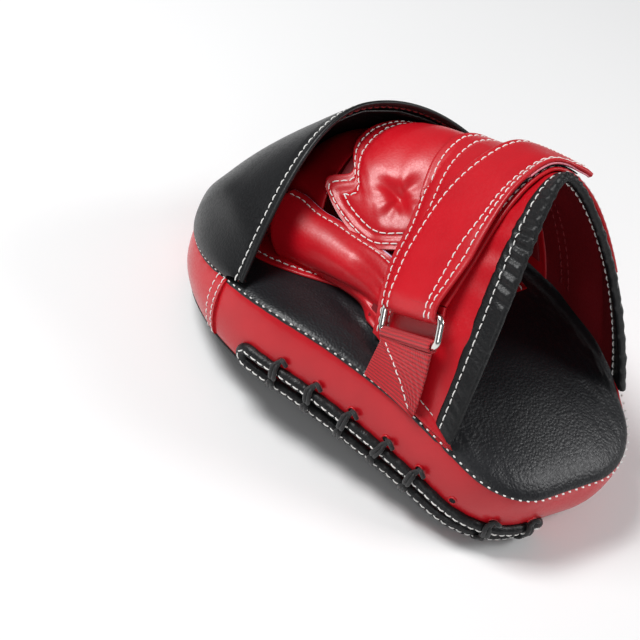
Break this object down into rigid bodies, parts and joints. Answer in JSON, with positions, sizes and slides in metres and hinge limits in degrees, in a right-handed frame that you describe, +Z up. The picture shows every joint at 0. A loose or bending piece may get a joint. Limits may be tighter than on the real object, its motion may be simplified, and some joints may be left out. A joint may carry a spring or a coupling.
{
  "type": "focus mitt",
  "caption": "Curved boxing focus mitt for the right hand: bent foam pad with a round target, finger hood, hand cover, thumb sleeve, open cuff and a wrist strap that folds back through a ring.",
  "frame": {"origin": "bottom centre of the bounding box, on the plane that both ends of the striking face rest on", "axes": "+X across the pad away from the thumb side, +Y from the wrist end to the finger end, +Z up, away from the striking face"},
  "size_m": [0.1992, 0.2564, 0.1653],
  "materials": {
    "face_leather": "matt, finely grained",
    "wall_leather": "smooth, glossy",
    "back_leather": "grained, satin",
    "hood_leather": "smooth, satin",
    "glove_leather": "smooth, glossy",
    "lining": "smooth, dull",
    "binding": "soft, wrinkled, satin",
    "print_white": "thin printed film",
    "print_grey": "thin printed film, finely grained",
    "foam_dense": "closed-cell foam",
    "foam_soft": "open foam",
    "lace_cord": "waxed braid",
    "elastic": "ribbed webbing",
    "hook_loop": "hook-and-loop tape",
    "nickel": "polished nickel plate"
  },
  "bodies": {
    "root": {"face_panel": "face_leather", "target_ring": "print_white", "target_disc": "print_grey", "impact_foam": "foam_dense", "backing_foam": "foam_soft", "side_wall_main": "wall_leather", "side_wall_finger": "wall_leather", "back_panel": "back_leather", "base_panel": "glove_leather", "placket_upper": "binding", "placket_lower": "binding", "lace": "lace_cord", "finger_hood": "hood_leather", "hood_lining": "hood_leather", "hood_binding": "binding", "finger_sleeve": "glove_leather", "thumb_sleeve": "glove_leather", "hand_cover": "glove_leather", "hand_padding": "foam_soft", "cuff_panel": "glove_leather", "cuff_lining": "lining", "cuff_binding": "binding", "elastic_tab": "elastic", "elastic_loop": "elastic", "strap_base": "glove_leather", "loop_patch": "hook_loop"},
    "strap_ring": {"strap_ring": "nickel"},
    "strap_tail": {"strap_fold": "glove_leather", "strap_tail_near": "glove_leather"},
    "strap_tip": {"strap_tail_tip": "glove_leather", "hook_patch": "hook_loop"}
  },
  "joints": [
    {"name": "ring_swing", "type": "hinge", "parent": "root", "child": "strap_ring", "pos_m": [-0.06003, -0.04979, 0.08013], "axis": [-0.0505, -0.8613, 0.5056], "range_deg": [0, 12]},
    {"name": "tail_peel", "type": "hinge", "parent": "strap_ring", "child": "strap_tail", "pos_m": [-0.056, -0.04317, 0.09179], "axis": [-0.0505, -0.8613, 0.5056], "range_deg": [0, 110]},
    {"name": "tip_peel", "type": "hinge", "parent": "strap_tail", "child": "strap_tip", "pos_m": [-0.01754, -0.02116, 0.13919], "axis": [0.1552, -0.81, 0.5655], "range_deg": [0, 85]}
  ]
}
